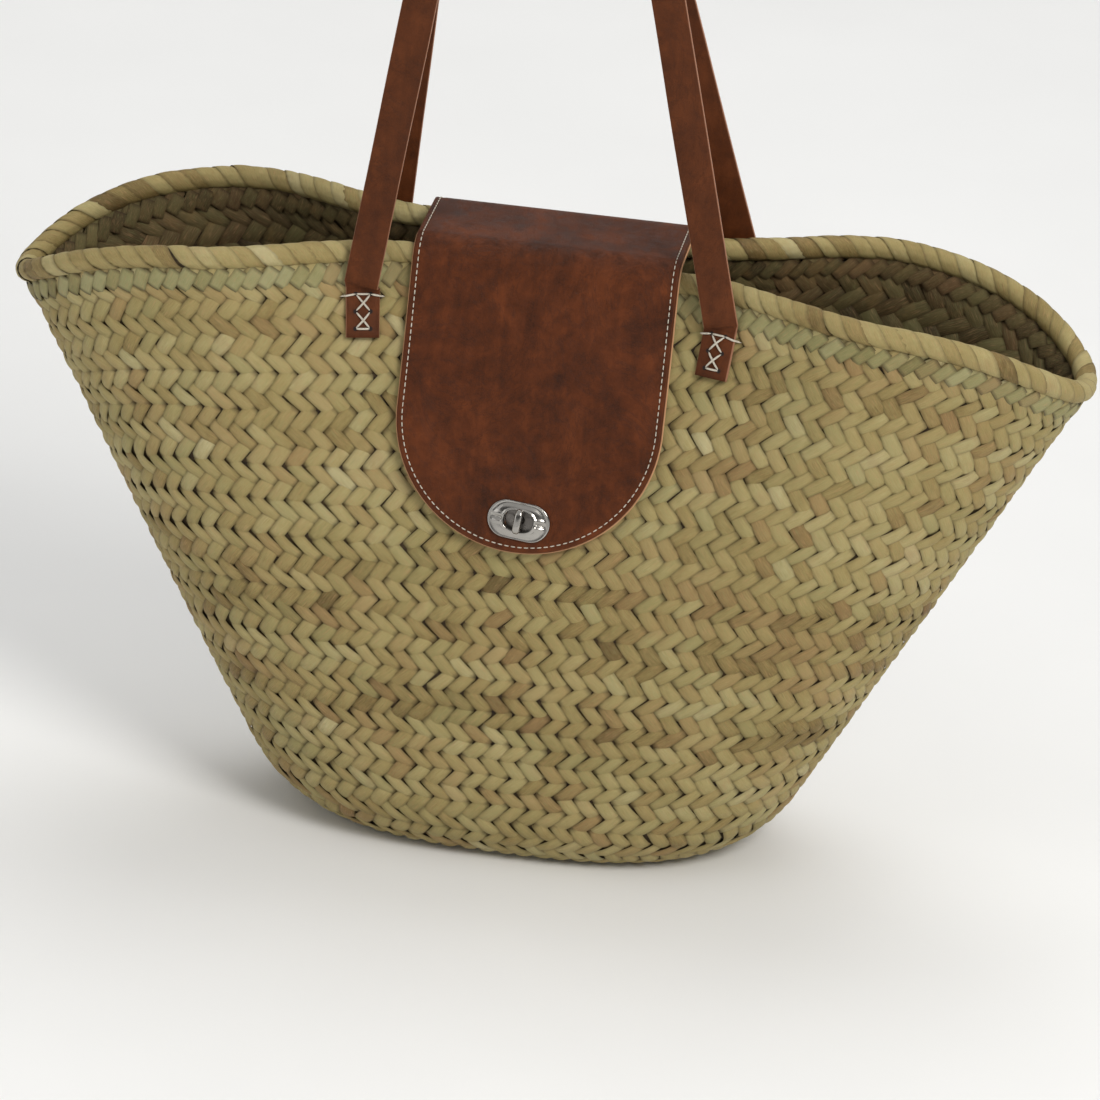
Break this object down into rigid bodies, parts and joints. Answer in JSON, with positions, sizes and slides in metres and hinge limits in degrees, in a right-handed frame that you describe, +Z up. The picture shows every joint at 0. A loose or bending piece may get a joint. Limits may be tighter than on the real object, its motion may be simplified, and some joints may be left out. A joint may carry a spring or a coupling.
{
  "type": "basket bag",
  "caption": "Flared oval basket bag woven from palm leaf, with a roll rim, a leather flap over the mouth, a turn lock and long leather shoulder straps.",
  "frame": {"origin": "middle of the base, on the surface that the bag stands on", "axes": "+X along the bag's length, +Y from the flap side to the back, +Z up"},
  "size_m": [0.5998, 0.173, 0.632],
  "materials": {
    "palm_weave": "dry plaited leaf, satin",
    "palm_rim": "dry wrapped leaf, satin",
    "palm_green": "dry plaited leaf, satin",
    "palm_rope": "twisted fibre, matt",
    "strap_leather": "waxed, satin",
    "flap_leather": "mottled, waxed, satin",
    "lining_leather": "raw side, matt",
    "thread": "waxed thread",
    "lock_metal": "bright plated"
  },
  "bodies": {
    "basket": {"basket_wall": "palm_weave", "basket_base": "palm_weave", "rim_core": "palm_rope", "rim_wrap": "palm_rim", "rim_plait": "palm_green", "inner_plait": "palm_rim", "front_left_strap_end": "strap_leather", "front_right_strap_end": "strap_leather", "rear_left_strap_end": "strap_leather", "rear_right_strap_end": "strap_leather", "front_left_lacing": "thread", "front_right_lacing": "thread", "rear_left_lacing": "thread", "rear_right_lacing": "thread", "flap_anchor": "flap_leather", "anchor_lining": "lining_leather", "anchor_stitching": "thread", "lock_patch": "flap_leather", "patch_stitching": "thread", "lock_base_plate": "lock_metal", "lock_rivets": "lock_metal", "lock_back_plate": "lock_metal", "spring_washer": "lock_metal"},
    "flap_top": {"flap_bridge": "flap_leather", "bridge_lining": "lining_leather", "bridge_stitching": "thread"},
    "flap_panel": {"flap_front": "flap_leather", "front_lining": "lining_leather", "front_stitching": "thread", "lock_escutcheon": "lock_metal", "escutcheon_backing": "lock_metal"},
    "knob": {"turn_knob": "lock_metal", "knob_retainer": "lock_metal"},
    "front_handle": {"front_strap": "strap_leather"},
    "rear_handle": {"rear_strap": "strap_leather"}
  },
  "joints": [
    {"name": "flap_hinge", "type": "hinge", "parent": "basket", "child": "flap_top", "pos_m": [0, 0.03447, 0.35217], "axis": [-1, 0, 0], "range_deg": [0, 50]},
    {"name": "flap_bend", "type": "hinge", "parent": "flap_top", "child": "flap_panel", "pos_m": [0, -0.03447, 0.35217], "axis": [-1, 0, 0], "range_deg": [0, 60]},
    {"name": "knob_turn", "type": "hinge", "parent": "basket", "child": "knob", "pos_m": [0, -0.08027, 0.21705], "axis": [0, -0.9509, 0.3095], "range_deg": [0, 90]},
    {"name": "front_strap_swing", "type": "hinge", "parent": "basket", "child": "front_handle", "pos_m": [0, -0.04871, 0.3305], "axis": [1, 0, 0], "range_deg": [0, 150]},
    {"name": "rear_strap_swing", "type": "hinge", "parent": "basket", "child": "rear_handle", "pos_m": [0, 0.04871, 0.3305], "axis": [-1, 0, 0], "range_deg": [0, 150]}
  ]
}
